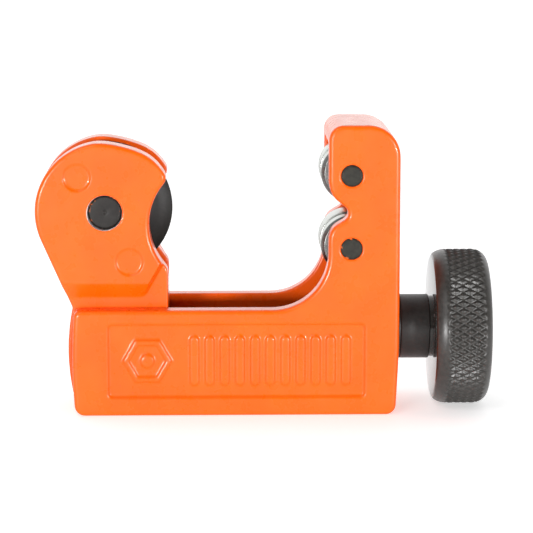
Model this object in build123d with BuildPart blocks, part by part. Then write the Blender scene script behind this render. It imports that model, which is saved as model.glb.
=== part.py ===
"""Mini tubing cutter, in millimetres.

A die-cast C-shaped frame carries two rollers on pins. A slide with the cutter wheel
runs in the frame's channel. A captive feed screw, turned by the knurled knob, is
threaded through the slide, so turning the knob draws the wheel against the tube.

+X runs along the feed screw towards the knob, +Y from the front cheek to the back
cheek and +Z up. The origin is midway along the cutter, on the surface it stands on.
"""
from build123d import *

import os
from math import cos, radians, sin, sqrt, tan

# Frame casting
frame_width = 15.2
cheek_thickness = 2.6
base_length = 41.0
base_height = 13.45
frame_height = 36.6
upright_depth = 8.9
floor_thickness = 2.0
end_wall_thickness = 2.0
top_wall_thickness = 2.4
throat_radius = 7.0
foot_corner_radius = 1.3
base_corner_radius = 0.8
jaw_corner_radius = 1.8
back_corner_radius = 4.0
casting_edge_radius = 0.5
open_end_bow = 0.3
end_wall_draft = 0.4
end_wall_draft_height = 8.5
notch_depth = 2.4
notch_rise = 4.1
notch_fall = 3.6
notch_drop = 0.2

# Sunk panel on each side of the base, with a plain raised pattern
panel_length = 32.2
panel_height = 9.35
panel_depth = 0.3
panel_from_end_wall = 4.3
panel_below_base_top = 1.75
panel_corner_radius = 0.5
rib_count = 11
rib_pitch = 1.9
rib_width = 1.0
rib_length = 6.2
rib_relief = 0.25
badge_radius = 3.0
badge_line = 0.6
badge_dot_radius = 0.8

# Rollers, above and below the middle of the jaw
jaw_height = 25.76
roller_spacing = 9.16
roller_radius = 3.7
roller_inset = 2.85
roller_side_gap = 0.2
roller_groove_width = 1.5
roller_groove_depth = 0.6
roller_groove_offset = 1.05
roller_chamfer = 0.4
roller_pin_radius = 1.35

# Slide
axle_setback = 4.2
axle_height = 25.6
head_radius = 8.75
head_lean = 23.7
head_dome_end = 100.0
head_brow = ((1.2, 8.48), (3.55, 7.86), (5.15, 7.16), (6.43, 6.17), (7.39, 4.98))
scoop_radius = 8.1
scoop_reach = 13.6
scoop_drop = 1.6
tip_rise = 3.9
slide_nose = 7.8
tip_radius = 1.1
nose_radius = 1.5
step_depth = 1.1
step_slope_top = 16.65
step_slope_foot = 14.8
step_height = 15.2
step_taper = 20.0
step_run = 4.6
step_angle = 60.0
step_radius = 1.2
slide_edge_radius = 0.45
foot_bow = 0.5
slot_width = 4.8
wheel_slot_gap = 0.6
ejector_mark_radius = 1.75
ejector_mark_depth = 0.2
ejector_marks = ((-3.45, 4.4), (3.0, -6.25))

# Cutter wheel and its axle
wheel_radius = 8.35
wheel_side_gap = 0.2
hub_radius = 3.9
blade_root_half = 0.85
blade_shoulder_half = 0.6
blade_edge_half = 0.03
bevel_length = 1.9
axle_radius = 2.1
axle_recess = 0.35
axle_chamfer = 0.2
axle_mouth_chamfer = 0.2
centre_dot_radius = 0.25
centre_dot_depth = 0.2

# Feed screw, with its washers, retaining clip, spacer sleeve and knob
screw_height = 10.0
screw_radius = 2.413
screw_end_inset = 0.5
staked_collar_height = 0.4
staked_collar_length = 0.7
thread_run_out = 4.9
opening_travel = 2.7
spigot_step = 0.4
spigot_recess = 0.3
washer_thickness = 0.4
rim_chamfer = 0.08
outer_washer_radius = 4.1
clip_thickness = 0.7
clip_groove_depth = 0.5
clip_side_gap = 0.45
clip_gap_angle = 80.0
clip_slot_fit = 0.03
clip_tooth_width = 1.5
sleeve_radius = 4.1
sleeve_length = 3.75
knob_radius = 9.9
knob_thickness = 7.05
knob_boss_radius = 3.9
knob_boss_length = 0.4
knob_inner_face_radius = 8.85
knob_outer_face_radius = 8.3
knob_inner_shoulder = 2.0
knob_outer_shoulder = 1.9
shoulder_steps = 4
knob_dish_radius = 6.4
knob_dish_depth = 0.35

# Clearances
press_gap = 0.01
running_gap = 0.06
sliding_gap = 0.1
floor_gap = 0.25
end_play = 0.05

# Derived widths
channel_width = frame_width - 2 * cheek_thickness
block_width = channel_width - 2 * sliding_gap
head_width = block_width + 2 * step_depth

# Places along X, from the overall length, so that the origin is at its middle
knob_face_reach = end_play + washer_thickness + sleeve_length + knob_boss_length
left_reach = base_length - axle_setback + head_radius
right_reach = knob_face_reach + knob_thickness
x_wall = (left_reach - right_reach) / 2
x_wall_inside = x_wall - end_wall_thickness
x_open = x_wall - base_length
x_jaw = x_wall - upright_depth
x_rollers = x_jaw + roller_inset
x_axle = x_open + axle_setback
x_knob_face = x_wall + knob_face_reach

screw_axis = Axis((0, 0, screw_height), (1, 0, 0))


def nearest(shapes, x, z):
    """The vertex of a sketch in the XZ plane that lies at x, z."""
    return shapes.sort_by_distance((x, z, 0))[0]


# Frame -------------------------------------------------------------------------------
with BuildPart() as frame:
    with BuildSketch(Plane.XZ) as frame_outline:
        with BuildLine():
            sole = Line((x_open + open_end_bow, 0), (x_wall - end_wall_draft, 0))
            draft = Line(sole @ 1, (x_wall, end_wall_draft_height))
            back = Line(draft @ 1, (x_wall, frame_height))
            crown = Line(back @ 1, (x_jaw, frame_height))
            brow = Line(crown @ 1, (x_jaw, jaw_height + notch_rise))
            notch = Spline(
                brow @ 1,
                (x_jaw + notch_depth, jaw_height - notch_drop),
                (x_jaw, jaw_height - notch_fall),
                tangents=[(0, -1), (0, -1), (0, -1)],
            )
            cheek = Line(notch @ 1, (x_jaw, base_height + throat_radius))
            throat = TangentArc(cheek @ 1, (x_jaw - throat_radius, base_height), tangent=(0, -1))
            rail = Line(throat @ 1, (x_open + open_end_bow, base_height))
            ThreePointArc(rail @ 1, (x_open, base_height / 2), sole @ 0)
        make_face()
        corners = frame_outline.vertices()
        feet = [nearest(corners, x_open + open_end_bow, 0), nearest(corners, x_wall - end_wall_draft, 0)]
        fillet(feet, foot_corner_radius)
        fillet(nearest(frame_outline.vertices(), x_open + open_end_bow, base_height), base_corner_radius)
        fillet(nearest(frame_outline.vertices(), x_jaw, frame_height), jaw_corner_radius)
        fillet(nearest(frame_outline.vertices(), x_wall, frame_height), back_corner_radius)
    extrude(amount=frame_width / 2, both=True)
    side_faces = frame.faces().filter_by(Axis.Y).sort_by(Axis.Y)
    fillet(side_faces[0].edges() + side_faces[-1].edges(), casting_edge_radius)

    # The channel is open to the jaw and at the end of the base
    channel_top = frame_height - top_wall_thickness
    with BuildSketch(Plane.XZ) as channel:
        with BuildLine():
            Polyline(
                (x_open - frame_width, floor_thickness),
                (x_wall_inside, floor_thickness),
                (x_wall_inside, channel_top),
                (x_open - frame_width, channel_top),
                close=True,
            )
        make_face()
        inner_corner = back_corner_radius - top_wall_thickness
        fillet(nearest(channel.vertices(), x_wall_inside, channel_top), inner_corner)
        fillet(nearest(channel.vertices(), x_wall_inside, floor_thickness), inner_corner / 2)
    extrude(amount=channel_width / 2, both=True, mode=Mode.SUBTRACT)

    # Screw bearing in the end wall, and the roller pins' holes through both cheeks
    with Locations(Plane.YZ.offset(x_wall)):
        with Locations((0, screw_height)):
            Hole(screw_radius + running_gap, depth=end_wall_thickness + throat_radius)
    for roller_height in (jaw_height - roller_spacing / 2, jaw_height + roller_spacing / 2):
        with Locations(Plane.XZ.offset(frame_width / 2)):
            with Locations((x_rollers, roller_height)):
                Hole(roller_pin_radius + press_gap, depth=frame_width)

    # Sunk panels, each with a row of upright ribs and a plain hexagon badge
    panel_x = x_wall - panel_from_end_wall - panel_length / 2
    panel_z = base_height - panel_below_base_top - panel_height / 2
    ribs_x = panel_x + panel_length / 2 - panel_corner_radius - rib_pitch * (rib_count + 1) / 2
    badge_x = panel_x - panel_length / 2 + rib_pitch + badge_radius
    for side in (1, -1):
        with BuildSketch(Plane.XZ.offset(side * frame_width / 2)):
            with Locations((panel_x, panel_z)):
                RectangleRounded(panel_length, panel_height, panel_corner_radius)
        extrude(amount=-side * panel_depth, mode=Mode.SUBTRACT)
        with BuildSketch(Plane.XZ.offset(side * (frame_width / 2 - panel_depth))):
            with Locations((ribs_x, panel_z)):
                with GridLocations(rib_pitch, 0, rib_count, 1):
                    SlotOverall(rib_length, rib_width, rotation=90)
            with Locations((badge_x, panel_z)):
                RegularPolygon(badge_radius, 6)
                RegularPolygon(badge_radius - badge_line, 6, mode=Mode.SUBTRACT)
                Circle(badge_dot_radius)
        extrude(amount=side * rib_relief)
frame.part.label = "frame"


# Slide: a block that fills the channel, with a forked head for the wheel --------------
lean = radians(head_lean)
back_edge = (x_axle - head_radius * cos(lean), axle_height - head_radius * sin(lean))
heel = (back_edge[0] + (back_edge[1] - base_height) * tan(lean), base_height)
foot_bottom = floor_thickness + floor_gap
x_nose = x_axle + slide_nose
scoop_centre = (x_axle + scoop_reach, axle_height - scoop_drop)
nose_top = scoop_centre[1] - sqrt(scoop_radius**2 - (scoop_reach - slide_nose) ** 2)

# The head's round ends past its top, and a flatter brow runs on to the tip over the scoop
dome_middle = radians((180 + head_lean + head_dome_end) / 2)
dome_end = radians(head_dome_end)
tip_reach = scoop_reach - sqrt(scoop_radius**2 - (tip_rise + scoop_drop) ** 2)
tip = (x_axle + tip_reach, axle_height + tip_rise)

with BuildPart() as slide:
    with BuildSketch(Plane.XZ) as slide_outline:
        with BuildLine():
            dome = ThreePointArc(
                back_edge,
                (x_axle + head_radius * cos(dome_middle), axle_height + head_radius * sin(dome_middle)),
                (x_axle + head_radius * cos(dome_end), axle_height + head_radius * sin(dome_end)),
            )
            brow_points = [(x_axle + x, axle_height + z) for x, z in head_brow]
            brow = Spline(dome @ 1, *brow_points, tip, tangents=[dome % 1, (0, -1)])
            scoop_middle = (scoop_centre[0] - scoop_radius, scoop_centre[1])
            scoop = ThreePointArc(brow @ 1, scoop_middle, (x_nose, nose_top))
            nose = Line(scoop @ 1, (x_nose, foot_bottom))
            foot = Line(nose @ 1, (heel[0], foot_bottom))
            ThreePointArc(foot @ 1, (heel[0] - foot_bow, screw_height), heel)
            Line(heel, back_edge)
        make_face()
        fillet(nearest(slide_outline.vertices(), *tip), tip_radius)
        fillet(nearest(slide_outline.vertices(), x_nose, nose_top), nose_radius)
    extrude(amount=head_width / 2, both=True)
    head_faces = slide.faces().filter_by(Axis.Y)
    fillet(head_faces.edges(), slide_edge_radius)

    # Below the step the block is as narrow as the channel
    for side in (1, -1):
        with BuildSketch(Plane.XZ.offset(side * head_width / 2)) as step_outline:
            with BuildLine():
                x_step = x_axle + step_run
                rise = frame_width * tan(radians(step_angle))
                Polyline(
                    (x_open - frame_width, -frame_width),
                    (x_open - frame_width, step_height),
                    (x_step, step_height),
                    (x_step + frame_width, step_height + rise),
                    (x_step + frame_width, -frame_width),
                    close=True,
                )
            make_face()
            fillet(nearest(step_outline.vertices(), x_step, step_height), step_radius)
        extrude(amount=-side * step_depth, taper=step_taper, mode=Mode.SUBTRACT)
    with BuildSketch(Plane.YZ.offset(x_axle - 2 * head_radius)):
        for side in (1, -1):
            with BuildLine():
                Polyline(
                    (side * head_width / 2, step_slope_top),
                    (side * block_width / 2, step_slope_foot),
                    (side * head_width / 2, step_slope_foot),
                    close=True,
                )
            make_face()
    extrude(amount=4 * head_radius, mode=Mode.SUBTRACT)

    # Slot for the wheel, bore for its axle, and the threaded bore for the feed screw
    slot_radius = wheel_radius + wheel_slot_gap
    with BuildSketch(Plane.XZ):
        with Locations((x_axle, axle_height)):
            Circle(slot_radius)
            Rectangle(2 * slot_radius, 2 * slot_radius, align=(Align.MIN, Align.CENTER))
    extrude(amount=slot_width / 2, both=True, mode=Mode.SUBTRACT)
    with Locations(Plane.XZ.offset(head_width / 2)):
        with Locations((x_axle, axle_height)):
            Hole(axle_radius + press_gap, depth=head_width)
    mouths = slide.edges().filter_by(GeomType.CIRCLE).filter_by(
        lambda edge: abs(edge.radius - axle_radius - press_gap) < press_gap / 2
        and abs(abs(edge.center().Y) - head_width / 2) < press_gap
    )
    chamfer(mouths, axle_mouth_chamfer)
    x_thread_start = x_open + screw_end_inset + staked_collar_length + opening_travel + end_play
    for x_from, x_to, bore_radius in (
        (x_axle - 2 * head_radius, x_nose + head_radius, screw_radius + sliding_gap),
        (x_axle - 2 * head_radius, x_thread_start, screw_radius + staked_collar_height + sliding_gap),
    ):
        with BuildSketch(Plane.YZ.offset(x_from)):
            with Locations((0, screw_height)):
                Circle(bore_radius)
        extrude(amount=x_to - x_from, mode=Mode.SUBTRACT)

    # Shallow round ejector marks on both sides of the head
    for side in (1, -1):
        with BuildSketch(Plane.XZ.offset(side * head_width / 2)):
            for mark_x, mark_z in ejector_marks:
                with Locations((x_axle + mark_x, axle_height + mark_z)):
                    Circle(ejector_mark_radius)
        extrude(amount=-side * ejector_mark_depth, mode=Mode.SUBTRACT)
slide.part.label = "slide"


# Cutter wheel and axle -----------------------------------------------------------------
wheel_axis = Axis((x_axle, 0, axle_height), (0, 1, 0))
wheel_plane = Plane(origin=(x_axle, 0, axle_height), x_dir=(1, 0, 0), z_dir=(0, 0, 1))
hub_half = slot_width / 2 - wheel_side_gap
bevel_radius = wheel_radius - bevel_length

with BuildPart() as cutter_wheel:
    with BuildSketch(wheel_plane):
        with BuildLine():
            half = [
                (axle_radius + running_gap, hub_half),
                (hub_radius, hub_half),
                (hub_radius, blade_root_half),
                (bevel_radius, blade_shoulder_half),
                (wheel_radius, blade_edge_half),
            ]
            Polyline(*half, *[(r, -y) for r, y in reversed(half)], close=True)
        make_face()
    revolve(axis=wheel_axis)
cutter_wheel.part.label = "cutter_wheel"

with BuildPart() as wheel_axle:
    axle_half = head_width / 2 - axle_recess
    with BuildSketch(Plane.XZ):
        with Locations((x_axle, axle_height)):
            Circle(axle_radius)
    extrude(amount=axle_half, both=True)
    chamfer(wheel_axle.edges().filter_by(GeomType.CIRCLE), axle_chamfer)
    for side in (1, -1):
        with BuildSketch(Plane.XZ.offset(side * axle_half)):
            with Locations((x_axle, axle_height)):
                Circle(centre_dot_radius)
        extrude(amount=-side * centre_dot_depth, mode=Mode.SUBTRACT)
wheel_axle.part.label = "wheel_axle"


# Rollers and their pins ----------------------------------------------------------------
roller_half = channel_width / 2 - roller_side_gap


def make_roller(height):
    """A plain roller with a relief groove towards its front end, on a pin at this height."""
    roller_plane = Plane(origin=(x_rollers, 0, height), x_dir=(1, 0, 0), z_dir=(0, 0, 1))
    groove_front = -roller_groove_offset - roller_groove_width / 2
    groove_back = -roller_groove_offset + roller_groove_width / 2
    with BuildPart() as roller:
        with BuildSketch(roller_plane):
            with BuildLine():
                Polyline(
                    (roller_pin_radius + running_gap, -roller_half),
                    (roller_radius - roller_chamfer, -roller_half),
                    (roller_radius, -roller_half + roller_chamfer),
                    (roller_radius, groove_front),
                    (roller_radius - roller_groove_depth, groove_front),
                    (roller_radius - roller_groove_depth, groove_back),
                    (roller_radius, groove_back),
                    (roller_radius, roller_half - roller_chamfer),
                    (roller_radius - roller_chamfer, roller_half),
                    (roller_pin_radius + running_gap, roller_half),
                    close=True,
                )
            make_face()
        revolve(axis=Axis((x_rollers, 0, height), (0, 1, 0)))
    return roller.part


def make_roller_pin(height):
    """A straight pin, pressed into both cheeks and flush with them."""
    with BuildPart() as pin:
        with BuildSketch(Plane.XZ):
            with Locations((x_rollers, height)):
                Circle(roller_pin_radius)
        extrude(amount=frame_width / 2, both=True)
    return pin.part


roller_parts = []
for place, rise in (("upper", roller_spacing / 2), ("lower", -roller_spacing / 2)):
    height = jaw_height + rise
    roller_part = make_roller(height)
    roller_part.label = f"roller_{place}"
    pin_part = make_roller_pin(height)
    pin_part.label = f"roller_pin_{place}"
    roller_parts += [roller_part, pin_part]


# Feed screw and what turns with it ----------------------------------------------------
x_screw_end = x_open + screw_end_inset
x_inner_washer = x_wall_inside - end_play - washer_thickness
x_clip = x_inner_washer - end_play - clip_thickness
x_thread_end = x_wall_inside - thread_run_out
x_sleeve = x_wall + end_play + washer_thickness
x_boss = x_sleeve + sleeve_length
x_knob_outer = x_knob_face + knob_thickness
journal_radius = screw_radius
spigot_radius = screw_radius - spigot_step
groove_radius = journal_radius - clip_groove_depth


def turned(profile):
    """A solid turned about the feed screw's axis, from points of x and radius."""
    with BuildPart() as body:
        with BuildSketch(Plane.XZ):
            with BuildLine():
                Polyline(*[(x, screw_height + radius) for x, radius in profile], close=True)
            make_face()
        revolve(axis=screw_axis)
    return body.part


feed_screw = turned([
    (x_screw_end, 0),
    (x_screw_end, screw_radius + staked_collar_height),
    (x_screw_end + staked_collar_length, screw_radius + staked_collar_height),
    (x_screw_end + staked_collar_length, screw_radius),
    (x_thread_end, screw_radius),
    (x_thread_end, screw_radius - spigot_step),
    (x_thread_end + spigot_step, screw_radius - spigot_step),
    (x_thread_end + 2 * spigot_step, journal_radius),
    (x_clip - clip_slot_fit, journal_radius),
    (x_clip - clip_slot_fit, groove_radius),
    (x_clip + clip_thickness + clip_slot_fit, groove_radius),
    (x_clip + clip_thickness + clip_slot_fit, journal_radius),
    (x_boss - press_gap, journal_radius),
    (x_boss - press_gap, spigot_radius),
    (x_knob_outer - spigot_recess - knob_dish_depth, spigot_radius),
    (x_knob_outer - spigot_recess - knob_dish_depth, 0),
])
feed_screw.label = "feed_screw"


def make_ring(x_start, thickness, inner_radius, outer_radius):
    """A flat ring or a sleeve round the feed screw."""
    with BuildPart() as ring:
        with BuildSketch(Plane.YZ.offset(x_start)):
            with Locations((0, screw_height)):
                Circle(outer_radius)
                Circle(inner_radius, mode=Mode.SUBTRACT)
        extrude(amount=thickness)
        round_edges = ring.edges().filter_by(GeomType.CIRCLE)
        chamfer(round_edges.filter_by(lambda edge: edge.radius > inner_radius + press_gap), rim_chamfer)
    return ring.part


clip_radius = channel_width / 2 - clip_side_gap
washer_bore = journal_radius + running_gap
sleeve_bore = journal_radius + press_gap
thrust_washer = make_ring(x_wall + end_play, washer_thickness, washer_bore, outer_washer_radius)
thrust_washer.label = "thrust_washer"
inner_washer = make_ring(x_inner_washer, washer_thickness, washer_bore, clip_radius)
inner_washer.label = "inner_washer"
spacer_sleeve = make_ring(x_sleeve + press_gap, sleeve_length - 2 * press_gap, sleeve_bore, sleeve_radius)
spacer_sleeve.label = "spacer_sleeve"

with BuildPart() as retaining_clip:
    with BuildSketch(Plane.YZ.offset(x_clip)):
        with Locations((0, screw_height)):
            Circle(clip_radius)
            Circle(journal_radius + running_gap, mode=Mode.SUBTRACT)
            with PolarLocations((journal_radius + groove_radius) / 2 + clip_slot_fit, 3, start_angle=-90):
                Rectangle(journal_radius - groove_radius + 2 * running_gap, clip_tooth_width)
            Circle(groove_radius + clip_slot_fit, mode=Mode.SUBTRACT)
        mouth_half = clip_radius * tan(radians(clip_gap_angle / 2))
        mouth_top = screw_height + clip_radius
        with BuildLine():
            Polyline((0, screw_height), (mouth_half, mouth_top), (-mouth_half, mouth_top), close=True)
        make_face(mode=Mode.SUBTRACT)
    extrude(amount=clip_thickness)
retaining_clip.part.label = "retaining_clip"


def shoulder(x_face, face_radius, length):
    """Points of a quarter ellipse, from a face of the knob to its full radius."""
    angles = [radians(90 * step / shoulder_steps) for step in range(shoulder_steps + 1)]
    height = knob_radius - face_radius
    return [(x_face + length * (1 - cos(angle)), face_radius + height * sin(angle)) for angle in angles]


knob = turned([
    (x_boss, spigot_radius + press_gap),
    (x_boss, knob_boss_radius),
    (x_knob_face, knob_boss_radius),
    *shoulder(x_knob_face, knob_inner_face_radius, knob_inner_shoulder),
    *reversed(shoulder(x_knob_outer, knob_outer_face_radius, -knob_outer_shoulder)),
    (x_knob_outer, knob_dish_radius),
    (x_knob_outer - knob_dish_depth, knob_dish_radius - knob_dish_depth),
    (x_knob_outer - knob_dish_depth, spigot_radius + press_gap),
])
knob.label = "knob"


# One STEP file for each piece
os.makedirs("parts", exist_ok=True)
pieces = [
    frame.part,
    slide.part,
    cutter_wheel.part,
    wheel_axle.part,
    *roller_parts,
    feed_screw,
    thrust_washer,
    inner_washer,
    retaining_clip.part,
    spacer_sleeve,
    knob,
]
for piece in pieces:
    export_step(piece, f"parts/{piece.label}.step")
print(f"{len(pieces)} pieces written")
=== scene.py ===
"""Mini tubing cutter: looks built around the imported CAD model.

The castings are softened copies of their CAD nodes, and the turned pieces are lathed
here with their knurl, thread, grooves and rounded edges. Sizes named here are in
millimetres, and places come from the CAD nodes' own boxes.
"""
import math

import bmesh
import bpy
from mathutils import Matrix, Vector


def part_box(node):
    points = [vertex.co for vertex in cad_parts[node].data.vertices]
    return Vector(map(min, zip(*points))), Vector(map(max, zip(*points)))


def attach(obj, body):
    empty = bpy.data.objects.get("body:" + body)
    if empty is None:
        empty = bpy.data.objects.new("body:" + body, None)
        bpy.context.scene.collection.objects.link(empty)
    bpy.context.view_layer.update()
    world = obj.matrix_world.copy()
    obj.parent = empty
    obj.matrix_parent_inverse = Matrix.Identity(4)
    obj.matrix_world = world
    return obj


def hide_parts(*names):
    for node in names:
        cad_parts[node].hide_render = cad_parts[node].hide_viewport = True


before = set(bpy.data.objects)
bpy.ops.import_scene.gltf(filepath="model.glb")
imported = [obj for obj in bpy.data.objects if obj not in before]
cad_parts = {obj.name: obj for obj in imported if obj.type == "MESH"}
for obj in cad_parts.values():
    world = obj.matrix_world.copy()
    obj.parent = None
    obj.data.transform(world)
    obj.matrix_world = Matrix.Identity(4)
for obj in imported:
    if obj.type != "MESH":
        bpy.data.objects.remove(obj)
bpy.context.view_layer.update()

MM = 0.001
TURN = 2 * math.pi

# Axes as (along, first radial, second radial), each right-handed
X_AXIS = (Vector((1, 0, 0)), Vector((0, 1, 0)), Vector((0, 0, 1)))
Y_AXIS = (Vector((0, 1, 0)), Vector((0, 0, 1)), Vector((1, 0, 0)))


def centre(node):
    """The middle of a CAD node's box, in metres."""
    low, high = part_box(node)
    return (low + high) / 2


def span(node, axis):
    """The lowest and highest place of a CAD node along an axis, in millimetres."""
    low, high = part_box(node)
    return low[axis] / MM, high[axis] / MM


# Materials ----------------------------------------------------------------------------
def new_material(name):
    """An empty Principled material, with coordinates in millimetres of the row frame."""
    made = bpy.data.materials.new(name)
    made.use_nodes = True
    tree = made.node_tree
    shader = tree.nodes["Principled BSDF"]
    place = tree.nodes.new("ShaderNodeTexCoord")
    scale = tree.nodes.new("ShaderNodeMapping")
    scale.inputs["Scale"].default_value = (1 / MM, 1 / MM, 1 / MM)
    tree.links.new(place.outputs["Object"], scale.inputs["Vector"])
    return made, tree, shader, scale.outputs["Vector"]


def noise(tree, vector, scale, detail=2.0, roughness=0.5):
    """A noise texture's value."""
    made = tree.nodes.new("ShaderNodeTexNoise")
    made.inputs["Scale"].default_value = scale
    made.inputs["Detail"].default_value = detail
    made.inputs["Roughness"].default_value = roughness
    tree.links.new(vector, made.inputs["Vector"])
    return made.outputs["Fac"]


def stretch(tree, vector, scale):
    """Coordinates scaled differently along each axis, for brushed grain."""
    made = tree.nodes.new("ShaderNodeMapping")
    made.inputs["Scale"].default_value = scale
    tree.links.new(vector, made.inputs["Vector"])
    return made.outputs["Vector"]


def spread(tree, value, from_range, to_range):
    """A value moved from one range to another, and held inside it."""
    made = tree.nodes.new("ShaderNodeMapRange")
    made.inputs["From Min"].default_value = from_range[0]
    made.inputs["From Max"].default_value = from_range[1]
    made.inputs["To Min"].default_value = to_range[0]
    made.inputs["To Max"].default_value = to_range[1]
    tree.links.new(value, made.inputs["Value"])
    return made.outputs["Result"]


def mix_colour(tree, factor, first, second):
    """A blend of two colours, each a colour or another node's output."""
    made = tree.nodes.new("ShaderNodeMix")
    made.data_type = "RGBA"
    tree.links.new(factor, made.inputs["Factor"])
    for socket, colour in ((made.inputs["A"], first), (made.inputs["B"], second)):
        if isinstance(colour, tuple):
            socket.default_value = (*colour, 1)
        else:
            tree.links.new(colour, socket)
    return made.outputs["Result"]


def math_node(tree, operation, first, second):
    """One step of arithmetic on two values, each a number or another node's output."""
    made = tree.nodes.new("ShaderNodeMath")
    made.operation = operation
    for socket, value in zip(made.inputs, (first, second)):
        if isinstance(value, (int, float)):
            socket.default_value = value
        else:
            tree.links.new(value, socket)
    return made.outputs["Value"]


def add_bump(tree, shader, height, strength, distance, below=None):
    """Surface relief from a height, on top of any relief given as below."""
    made = tree.nodes.new("ShaderNodeBump")
    made.inputs["Strength"].default_value = strength
    made.inputs["Distance"].default_value = distance * MM
    tree.links.new(height, made.inputs["Height"])
    if below is not None:
        tree.links.new(below, made.inputs["Normal"])
    tree.links.new(made.outputs["Normal"], shader.inputs["Normal"])
    return made.outputs["Normal"]


def distance_from(tree, vector, point, flatten):
    """Distance in millimetres from a line through a point, along the flattened axis."""
    shifted = tree.nodes.new("ShaderNodeVectorMath")
    shifted.operation = "SUBTRACT"
    tree.links.new(vector, shifted.inputs[0])
    shifted.inputs[1].default_value = point
    flat = tree.nodes.new("ShaderNodeVectorMath")
    flat.operation = "MULTIPLY"
    tree.links.new(shifted.outputs["Vector"], flat.inputs[0])
    flat.inputs[1].default_value = tuple(0.0 if axis == flatten else 1.0 for axis in range(3))
    length = tree.nodes.new("ShaderNodeVectorMath")
    length.operation = "LENGTH"
    tree.links.new(flat.outputs["Vector"], length.inputs[0])
    return length.outputs["Value"]


def paint_material(name, bare_point=None, bare_radius=0.0):
    """Gloss orange enamel on a casting, with bare metal round one hole if it's given."""
    made, tree, shader, place = new_material(name)
    tone = spread(tree, noise(tree, place, 0.18, 3), (0.35, 0.65), (0, 1))
    colour = mix_colour(tree, tone, (0.76, 0.084, 0.0008), (0.80, 0.095, 0.0016))
    # Tiny pits in the enamel are bumped in, and their darker orange is painted shade in them
    pits = tree.nodes.new("ShaderNodeTexVoronoi")
    pits.inputs["Scale"].default_value = 0.45
    tree.links.new(place, pits.inputs["Vector"])
    pit_and_painted_shade = spread(tree, pits.outputs["Distance"], (0.02, 0.035), (1, 0))
    colour = mix_colour(tree, pit_and_painted_shade, colour, (0.30, 0.035, 0.008))
    rough = spread(tree, noise(tree, place, 0.6, 4), (0.3, 0.7), (0.24, 0.34))
    shader.inputs["IOR"].default_value = 1.33
    shader.inputs["Coat Weight"].default_value = 0.3
    shader.inputs["Coat IOR"].default_value = 1.33
    shader.inputs["Coat Roughness"].default_value = 0.06
    if bare_point is not None:
        reach = distance_from(tree, place, bare_point, flatten=1)
        bare = spread(tree, reach, (bare_radius, bare_radius + 0.03), (1, 0))
        colour = mix_colour(tree, bare, colour, (0.82, 0.81, 0.79))
        tree.links.new(bare, shader.inputs["Metallic"])
    tree.links.new(colour, shader.inputs["Base Color"])
    tree.links.new(rough, shader.inputs["Roughness"])
    peel = add_bump(tree, shader, noise(tree, place, 0.9, 2), 0.3, 0.02)
    add_bump(tree, shader, pit_and_painted_shade, -0.5, 0.03, peel)
    return made


def black_material(name, base=(0.0085, 0.0072, 0.0064), rough=(0.36, 0.5), grit=9.0, fleck_axis=None,
                   polished_below=None, specular=0.5):
    """Blackened steel with a fine grit, flecks of paint round a rim, and a polished face at low X."""
    made, tree, shader, place = new_material(name)
    shader.inputs["Specular IOR Level"].default_value = specular
    tone = spread(tree, noise(tree, place, 2.2, 5, 0.6), (0.35, 0.7), (0, 1))
    lighter = tuple(channel * 2.0 for channel in base)
    colour = mix_colour(tree, tone, base, lighter)
    if fleck_axis is not None:
        point, inner = fleck_axis
        rim = spread(tree, distance_from(tree, place, point, flatten=1), (inner, inner + 0.25), (0, 1))
        spots = spread(tree, noise(tree, place, 1.7, 1), (0.65, 0.67), (0, 1))
        fleck = math_node(tree, "MULTIPLY", rim, spots)
        colour = mix_colour(tree, fleck, colour, (0.75, 0.16, 0.03))
    tree.links.new(colour, shader.inputs["Base Color"])
    dull = spread(tree, noise(tree, place, 5.0, 3), (0.3, 0.7), rough)
    grit_height = noise(tree, place, grit, 3)
    if polished_below is not None:
        apart = tree.nodes.new("ShaderNodeSeparateXYZ")
        tree.links.new(place, apart.inputs["Vector"])
        matt = spread(tree, apart.outputs["X"], (polished_below, polished_below + 0.1), (0.12, 1))
        dull = math_node(tree, "MULTIPLY", dull, matt)
        grit_height = math_node(tree, "MULTIPLY", grit_height, matt)
    tree.links.new(dull, shader.inputs["Roughness"])
    add_bump(tree, shader, grit_height, 0.35, 0.015)
    return made


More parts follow.
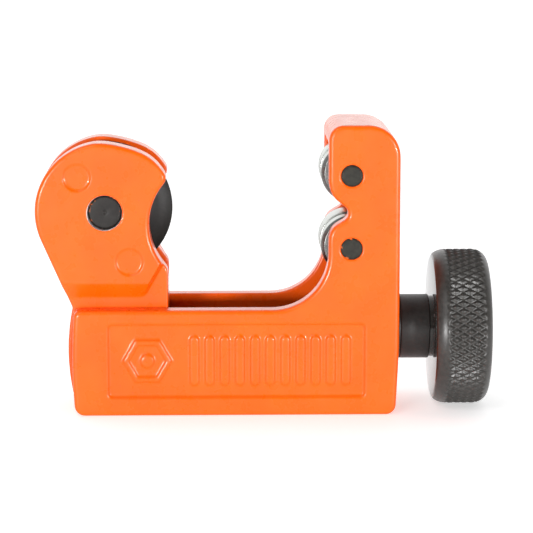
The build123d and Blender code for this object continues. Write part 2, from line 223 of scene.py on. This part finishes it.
def steel_material(name, colour, rough, grain_axis, painted_dark_bands=None):
    """Turned steel, with fine grain round an axis, and painted shade and painted dark reflection off the
    ground lands if they are given.

    The last argument is ((middle, half width) of the groove, painted near black as painted shade, distance
    from 0 where the ends start, whose turned rings are darkened as painted dark reflection).
    """
    made, tree, shader, place = new_material(name)
    shader.inputs["Metallic"].default_value = 1.0
    scale = tuple(26.0 if axis == grain_axis else 0.7 for axis in range(3))
    grain = noise(tree, stretch(tree, place, scale), 1.0, 3)
    tint = mix_colour(tree, grain, tuple(channel * 0.8 for channel in colour), colour)
    if painted_dark_bands is not None:
        apart = tree.nodes.new("ShaderNodeSeparateXYZ")
        tree.links.new(place, apart.inputs["Vector"])
        across = apart.outputs[grain_axis]
        groove, end = painted_dark_bands
        # The groove is painted near black, which is painted shade. The ends beyond the lands get turned
        # rings darkened near black, partly turning marks and partly painted dark reflection.
        off_groove = math_node(tree, "ABSOLUTE", math_node(tree, "SUBTRACT", across, groove[0]), 0)
        painted_groove_shade = spread(tree, off_groove, (groove[1], groove[1] + 0.05), (1, 0))
        ends_with_painted_reflection = spread(tree, math_node(tree, "ABSOLUTE", across, 0), (end, end + 0.08), (0, 1))
        rings = noise(tree, stretch(tree, place, (6.0, 0.5, 6.0)), 1.0, 4)
        turned_rings_painted_dark = mix_colour(tree, rings, (0.01, 0.01, 0.01), (0.30, 0.30, 0.29))
        tint = mix_colour(tree, ends_with_painted_reflection, tint, turned_rings_painted_dark)
        tint = mix_colour(tree, painted_groove_shade, tint, (0.004, 0.004, 0.004))
    tree.links.new(tint, shader.inputs["Base Color"])
    tree.links.new(spread(tree, grain, (0.3, 0.7), rough), shader.inputs["Roughness"])
    add_bump(tree, shader, grain, 0.25, 0.006)
    return made


# Sizes that materials and meshes share
knob_boss_length = 0.4
groove_middle = -1.05
groove_half = 0.75
end_taper = 0.75
bare_rim_offset = 0.06
bare_rim_radius = 2.22
groove_edge = 0.03

axle_point = tuple(value / MM for value in centre("wheel_axle"))
paint = paint_material("orange_enamel")
rim_point = (axle_point[0] - bare_rim_offset, axle_point[1], axle_point[2] - bare_rim_offset)
slide_paint = paint_material("orange_enamel_slide", rim_point, bare_rim_radius)
black_oxide = black_material("black_oxide")
knob_face = span("knob", 0)[0] + knob_boss_length
# Groove and end places on the rollers for the painted shade and painted dark reflection of the roller
# material
roller_painted_dark_bands = ((groove_middle, groove_half - groove_edge), span("roller_upper", 1)[1] - end_taper)
knurl_black = black_material("black_oxide_knurl", (0.016, 0.0145, 0.013), (0.3, 0.42), 6.0,
                             polished_below=knob_face + 0.05)
axle_black = black_material("black_oxide_axle", fleck_axis=(axle_point, 1.8), specular=0.22)
wheel_steel = black_material("blackened_tool_steel", (0.0045, 0.0034, 0.0028), (0.36, 0.46), 12.0,
                             specular=0.16)
roller_steel = steel_material("ground_steel", (0.48, 0.50, 0.47), (0.22, 0.36), 1, roller_painted_dark_bands)
clip_steel = steel_material("phosphated_spring_steel", (0.35, 0.35, 0.34), (0.4, 0.55), 0)


# Meshes -------------------------------------------------------------------------------
def rounded(points, radius, steps=3):
    """A profile with its sharp corners rounded. The ends of an open profile stay."""
    closed = points[0][1] > 0 or points[-1][1] > 0
    result = []
    count = len(points)
    for index, (along, out) in enumerate(points):
        if not closed and index in (0, count - 1):
            result.append((along, out))
            continue
        here = Vector((along, out))
        before = Vector(points[index - 1]) - here
        after = Vector(points[(index + 1) % count]) - here
        opening = before.angle(after)
        reach = min(radius / math.tan(opening / 2), 0.45 * before.length, 0.45 * after.length)
        if opening > math.radians(165) or reach < 1e-4:
            result.append((along, out))
            continue
        first = here + before.normalized() * reach
        last = here + after.normalized() * reach
        for step in range(steps + 1):
            t = step / steps
            point = first * (1 - t) ** 2 + here * 2 * t * (1 - t) + last * t**2
            result.append((point.x, point.y))
    return result


def finish_mesh(mesh, name, material, body, replaced, sharp_angle=38):
    """Makes a mesh a shown piece: smooth, with its material, riding on its body."""
    mesh.shade_smooth()
    mesh.set_sharp_from_angle(angle=math.radians(sharp_angle))
    mesh.materials.append(material)
    piece = bpy.data.objects.new(name, mesh)
    bpy.context.scene.collection.objects.link(piece)
    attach(piece, body)
    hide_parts(*replaced)
    return piece


def turn(name, profile, origin, axes, material, body, replaced,
         segments=96, relief=None, sharp_angle=38):
    """A piece turned about an axis. The profile lists (place along, radius) in millimetres.

    A profile that starts and ends at radius 0 is a solid, and any other is a closed ring.
    relief(along, angle, radius) gives each point's radius where it isn't plain.
    """
    along_axis, first_axis, second_axis = axes
    closed = profile[0][1] > 0 or profile[-1][1] > 0
    work = bmesh.new()
    rings = []
    for along, radius in profile:
        middle = origin + along_axis * (along * MM)
        if radius == 0:
            rings.append([work.verts.new(middle)])
            continue
        ring = []
        for index in range(segments):
            angle = TURN * index / segments
            out = (relief(along, angle, radius) if relief else radius) * MM
            outwards = math.cos(angle) * first_axis + math.sin(angle) * second_axis
            ring.append(work.verts.new(middle + out * outwards))
        rings.append(ring)
    pairs = list(zip(rings, rings[1:]))
    if closed:
        pairs.append((rings[-1], rings[0]))
    for first, second in pairs:
        for index in range(segments):
            following = (index + 1) % segments
            corners = [first[index % len(first)], first[following % len(first)]]
            corners += [second[following % len(second)], second[index % len(second)]]
            work.faces.new(list(dict.fromkeys(corners)))
    bmesh.ops.recalc_face_normals(work, faces=work.faces)
    mesh = bpy.data.meshes.new(name)
    work.to_mesh(mesh)
    work.free()
    return finish_mesh(mesh, name, material, body, replaced, sharp_angle)


def soft_casting(node, name, material, body, voxel):
    """A copy of a CAD casting with the soft edges that casting and paint leave."""
    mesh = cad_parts[node].data.copy()
    mesh.materials.clear()
    work = bmesh.new()
    work.from_mesh(mesh)
    bmesh.ops.remove_doubles(work, verts=work.verts, dist=1e-7)
    work.to_mesh(mesh)
    work.free()
    scratch = bpy.data.objects.new(name + "_scratch", mesh)
    bpy.context.scene.collection.objects.link(scratch)
    remesh = scratch.modifiers.new("remesh", "REMESH")
    remesh.mode = "VOXEL"
    remesh.voxel_size = voxel * MM
    smooth = scratch.modifiers.new("smooth", "SMOOTH")
    smooth.factor = 0.5
    smooth.iterations = 2
    evaluated = scratch.evaluated_get(bpy.context.evaluated_depsgraph_get())
    result = bpy.data.meshes.new_from_object(evaluated)
    bpy.data.objects.remove(scratch)
    return finish_mesh(result, name, material, body, [node], 80)


casting_voxel = 0.15
soft_casting("frame", "frame_casting", paint, "frame", casting_voxel)
soft_casting("slide", "slide_casting", slide_paint, "slide", casting_voxel)


# Cutter wheel and its axle
wheel_low = span("cutter_wheel", 1)[0]
wheel_x_low, wheel_x_high = span("cutter_wheel", 0)
wheel_radius = (wheel_x_high - wheel_x_low) / 2
axle_radius = (span("wheel_axle", 0)[1] - span("wheel_axle", 0)[0]) / 2
hub_radius = 3.9
blade_root_half = 0.85
blade_shoulder_half = 0.6
bevel_length = 1.9
blade_edge_half = 0.03
wheel_bore = axle_radius + 0.06
bevel_radius = wheel_radius - bevel_length
half_profile = [
    (wheel_low, wheel_bore),
    (wheel_low, hub_radius),
    (-blade_root_half, hub_radius),
    (-blade_shoulder_half, bevel_radius),
    (-blade_edge_half, wheel_radius),
]
wheel_profile = half_profile + [(-along, radius) for along, radius in reversed(half_profile)]
wheel_origin = centre("cutter_wheel")
turn("cutter_wheel_turned", rounded(wheel_profile, 0.08, 2), wheel_origin, Y_AXIS, wheel_steel,
     "cutter_wheel", ["cutter_wheel"], 128)

axle_low, axle_high = span("wheel_axle", 1)
axle_profile = [
    (axle_low + 0.2, 0),
    (axle_low + 0.03, 0.25),
    (axle_low, 0.6),
    (axle_low, axle_radius - 0.22),
    (axle_low + 0.22, axle_radius),
    (axle_high - 0.22, axle_radius),
    (axle_high, axle_radius - 0.22),
    (axle_high, 0.6),
    (axle_high - 0.03, 0.25),
    (axle_high - 0.2, 0),
]
turn("wheel_axle_turned", rounded(axle_profile, 0.08), centre("wheel_axle"), Y_AXIS, axle_black,
     "slide", ["wheel_axle"])


# Rollers and their pins
groove_depth = 0.6
taper_rise = 0.4
roller_pin_fit = 0.06
for place in ("upper", "lower"):
    node = f"roller_{place}"
    pin = f"roller_pin_{place}"
    low, high = span(node, 1)
    roller_radius = (span(node, 0)[1] - span(node, 0)[0]) / 2
    pin_low, pin_high = span(pin, 1)
    pin_radius = (span(pin, 0)[1] - span(pin, 0)[0]) / 2
    profile = [
        (low, pin_radius + roller_pin_fit),
        (low, roller_radius - taper_rise),
        (low + end_taper, roller_radius),
        (groove_middle - groove_half, roller_radius),
        (groove_middle - groove_half, roller_radius - groove_depth),
        (groove_middle + groove_half, roller_radius - groove_depth),
        (groove_middle + groove_half, roller_radius),
        (high - end_taper, roller_radius),
        (high, roller_radius - taper_rise),
        (high, pin_radius + roller_pin_fit),
    ]
    turn(f"{node}_turned", rounded(profile, 0.12), centre(node), Y_AXIS, roller_steel,
         node, [node], 128)
    pin_black = black_material(f"black_oxide_{pin}", (0.012, 0.0112, 0.0085), (0.35, 0.55), 5.0,
                               (tuple(value / MM for value in centre(pin)), pin_radius - 0.25), specular=0.2)
    profile = [
        (pin_low + 0.04, 0),
        (pin_low + 0.02, 0.5 * pin_radius),
        (pin_low, 0.8 * pin_radius),
        (pin_low + 0.12, pin_radius),
        (pin_high - 0.12, pin_radius),
        (pin_high, 0.8 * pin_radius),
        (pin_high - 0.02, 0.5 * pin_radius),
        (pin_high - 0.04, 0),
    ]
    turn(f"{pin}_turned", rounded(profile, 0.06), centre(pin), Y_AXIS, pin_black,
         "frame", [pin], 64)


# Feed screw, with its thread
thread_pitch = 0.79375
thread_depth = 0.42
thread_steps = 12
collar_length = 0.7
collar_height = 0.4
spigot_step = 0.4
groove_radius = 1.913
clip_slot_fit = 0.03
screw_origin = Vector((0, 0, centre("knob").z))
screw_low, screw_high = span("feed_screw", 0)
screw_radius = 2.413
clip_low, clip_high = span("retaining_clip", 0)
washer_gap = 0.05
plain_before_wall = 4.9
wall_low = span("inner_washer", 0)[1] + washer_gap
wall_high = span("thrust_washer", 0)[0] - washer_gap
thread_low = screw_low + collar_length
thread_high = wall_low - plain_before_wall
boss_low = span("knob", 0)[0]
screw_profile = [
    (screw_low + 0.15, 0),
    (screw_low + 0.05, 1.2),
    (screw_low, screw_radius - 0.3),
    (screw_low, screw_radius + collar_height - 0.25),
    (screw_low + 0.25, screw_radius + collar_height),
    (thread_low - 0.15, screw_radius + collar_height),
    (thread_low, screw_radius + collar_height - 0.15),
    (thread_low, screw_radius),
]
ring_count = int((thread_high - thread_low) / thread_pitch * thread_steps)
for index in range(1, ring_count):
    screw_profile.append((thread_low + (thread_high - thread_low) * index / ring_count, screw_radius))
screw_profile += [
    (thread_high, screw_radius),
    (thread_high, screw_radius - spigot_step),
    (thread_high + spigot_step, screw_radius - spigot_step),
    (thread_high + 2 * spigot_step, screw_radius),
    (clip_low - clip_slot_fit, screw_radius),
    (clip_low - clip_slot_fit, groove_radius),
    (clip_high + clip_slot_fit, groove_radius),
    (clip_high + clip_slot_fit, screw_radius),
    (boss_low - 0.01, screw_radius),
    (boss_low - 0.01, screw_radius - spigot_step),
    (screw_high - 0.12, screw_radius - spigot_step),
    (screw_high, screw_radius - spigot_step - 0.12),
    (screw_high, 0.9),
    (screw_high - 0.1, 0),
]


def thread_relief(along, angle, radius):
    """The screw's radius with a right-hand V thread cut into its threaded length."""
    if not thread_low < along < thread_high:
        return radius
    phase = (along / thread_pitch - angle / TURN) % 1
    depth = max(0.0, 1 - abs(phase - 0.5) / 0.44)
    fade = min(1.0, (along - thread_low) / 0.8, (thread_high - along) / 0.8)
    return radius - thread_depth * min(depth, 0.9) * fade


turn("feed_screw_threaded", screw_profile, screw_origin, X_AXIS, black_oxide,
     "screw_and_knob", ["feed_screw"], 48, thread_relief, 70)


# Sleeve and outer washer
for node, edge in (("spacer_sleeve", 0.16), ("thrust_washer", 0.08)):
    low, high = span(node, 0)
    outer = (span(node, 2)[1] - span(node, 2)[0]) / 2
    bore = screw_radius + (0.01 if node == "spacer_sleeve" else 0.06)
    profile = [(low, bore), (low, outer), (high, outer), (high, bore)]
    turn(f"{node}_turned", rounded(profile, edge, 4), screw_origin, X_AXIS, black_oxide,
         "screw_and_knob", [node], 96)


# Knob, with its diamond knurl
knurl_count = 60
knurl_length = 1.8
knurl_depth = 0.3
knurl_steps = 14
knurl_around = 10
shoulder_rings = 8
inner_face_radius = 8.85
outer_face_radius = 8.3
inner_shoulder = 2.0
outer_shoulder = 1.9
knurl_from_inner_face = 1.5
knurl_from_outer_face = 0.85
knob_boss_radius = 3.9
knob_dish_radius = 6.4
knob_dish_depth = 0.35
knob_radius = (span("knob", 2)[1] - span("knob", 2)[0]) / 2
knob_low, knob_high = span("knob", 0)
face_low = knob_low + knob_boss_length
band_low = face_low + knurl_from_inner_face
band_high = knob_high - knurl_from_outer_face
spigot_radius = screw_radius - spigot_step


def knob_outline(along):
    """The knob's plain radius: a cylinder with an elliptical shoulder at each face."""
    for face, length, face_radius in ((along - face_low, inner_shoulder, inner_face_radius),
                                      (knob_high - along, outer_shoulder, outer_face_radius)):
        if face < length:
            rise = math.sqrt(max(0.0, 1 - (1 - max(face, 0.0) / length) ** 2))
            return face_radius + (knob_radius - face_radius) * rise
    return knob_radius


def knurl_relief(along, angle, radius):
    """The knob's radius with a diamond knurl cut into its band."""
    if not band_low < along < band_high:
        return radius
    turns = knurl_count * angle / TURN
    shift = (along - band_low) / knurl_length
    first = (turns + shift) % 1
    second = (turns - shift) % 1
    height = min(first, 1 - first, second, 1 - second) / 0.36
    fade = min(1.0, (along - band_low) / 0.3, (band_high - along) / 0.3)
    return radius - knurl_depth * (1 - min(height, 1.0)) * fade


knob_profile = [(knob_low, spigot_radius + 0.01), (knob_low, knob_boss_radius), (face_low, knob_boss_radius)]
for index in range(shoulder_rings):
    along = face_low + knurl_from_inner_face * (index / shoulder_rings) ** 2
    knob_profile.append((along, knob_outline(along)))
band_count = int((band_high - band_low) / knurl_length * knurl_steps)
for index in range(band_count + 1):
    along = band_low + (band_high - band_low) * index / band_count
    knob_profile.append((along, knob_outline(along)))
for index in reversed(range(shoulder_rings)):
    along = knob_high - knurl_from_outer_face * (index / shoulder_rings) ** 2
    knob_profile.append((along, knob_outline(along)))
knob_profile += [
    (knob_high, knob_dish_radius + 0.15),
    (knob_high - 0.1, knob_dish_radius),
    (knob_high - knob_dish_depth, knob_dish_radius - knob_dish_depth),
    (knob_high - knob_dish_depth, spigot_radius + 0.01),
]
turn("knob_knurled", knob_profile, screw_origin, X_AXIS, knurl_black,
     "screw_and_knob", ["knob"], knurl_count * knurl_around, knurl_relief, 50)


# Inner washer and clip keep their CAD shapes
for node in ("inner_washer", "retaining_clip"):
    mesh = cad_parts[node].data
    mesh.materials.clear()
    mesh.materials.append(clip_steel)


# Stage --------------------------------------------------------------------------------
floor_mesh = bpy.data.meshes.new("floor")
floor_half = 6.0
corners = [(x * floor_half, y * floor_half, 0) for x, y in ((-1, -1), (1, -1), (1, 1), (-1, 1))]
floor_mesh.from_pydata(corners, [], [(0, 1, 2, 3)])
floor = bpy.data.objects.new("floor", floor_mesh)
bpy.context.scene.collection.objects.link(floor)
floor_material, floor_tree, floor_shader, floor_place = new_material("pale_floor")
floor_tone = spread(floor_tree, noise(floor_tree, floor_place, 0.02), (0.3, 0.7), (0, 1))
floor_colour = mix_colour(floor_tree, floor_tone, (0.93, 0.93, 0.93), (0.95, 0.95, 0.95))
floor_tree.links.new(floor_colour, floor_shader.inputs["Base Color"])
floor_shader.inputs["Roughness"].default_value = 0.9
floor_shader.inputs["Specular IOR Level"].default_value = 0.1
floor_shader.inputs["Emission Color"].default_value = (1.0, 1.0, 1.0, 1)
floor_shader.inputs["Emission Strength"].default_value = 0.5
floor_mesh.materials.append(floor_material)

world = bpy.data.worlds.new("studio")
world.use_nodes = True
backdrop = world.node_tree.nodes["Background"]
backdrop.inputs["Strength"].default_value = 1.0
# The studio is white behind the object and dim behind the camera
heading = world.node_tree.nodes.new("ShaderNodeTexCoord")
split = world.node_tree.nodes.new("ShaderNodeSeparateXYZ")
world.node_tree.links.new(heading.outputs["Generated"], split.inputs["Vector"])
dim = spread(world.node_tree, split.outputs["Y"], (-0.5, 0.95), (0.05, 1.5))
world.node_tree.links.new(dim, backdrop.inputs["Color"])
bpy.context.scene.world = world


def softbox(name, position, aim, size, power):
    """A square area light that faces a point."""
    light = bpy.data.lights.new(name, "AREA")
    light.shape = "SQUARE"
    light.size = size
    light.energy = power
    lamp = bpy.data.objects.new(name, light)
    lamp.location = position
    lamp.rotation_euler = (Vector(aim) - Vector(position)).to_track_quat("-Z", "Y").to_euler()
    bpy.context.scene.collection.objects.link(lamp)


softbox("key_softbox", (-0.22, -0.40, 0.42), (0, 0, 0.02), 0.30, 0.7)
softbox("left_softbox", (-0.24, -0.50, 0.025), (0, 0, 0.02), 0.08, 2.6)
softbox("right_softbox", (0.28, -0.48, 0.025), (0, 0, 0.02), 0.08, 2.8)

# Camera: slightly above and left of square on to the front cheek. The width of view is in
# millimetres at the target, and the target is set from the end wall and the screw.
camera_turn = 0.02235
camera_rise = 0.16258
camera_distance = 300.1
view_width = 68.1237
sensor_width = 36.0
target_before_wall = 16.50
target_above_screw = 7.78
target = Vector((wall_high - target_before_wall, 0, screw_origin.z / MM + target_above_screw)) * MM
away = Vector((
    -math.sin(camera_turn) * math.cos(camera_rise),
    -math.cos(camera_turn) * math.cos(camera_rise),
    math.sin(camera_rise),
))
camera_data = bpy.data.cameras.new("camera")
camera_data.sensor_width = sensor_width
camera_data.lens = sensor_width * camera_distance / view_width
camera_data.clip_start = 0.01
camera = bpy.data.objects.new("camera", camera_data)
camera.location = target + away * camera_distance * MM
camera.rotation_euler = (-away).to_track_quat("-Z", "Y").to_euler()
bpy.context.scene.collection.objects.link(camera)
bpy.context.scene.camera = camera
bpy.context.scene.view_settings.view_transform = "Standard"
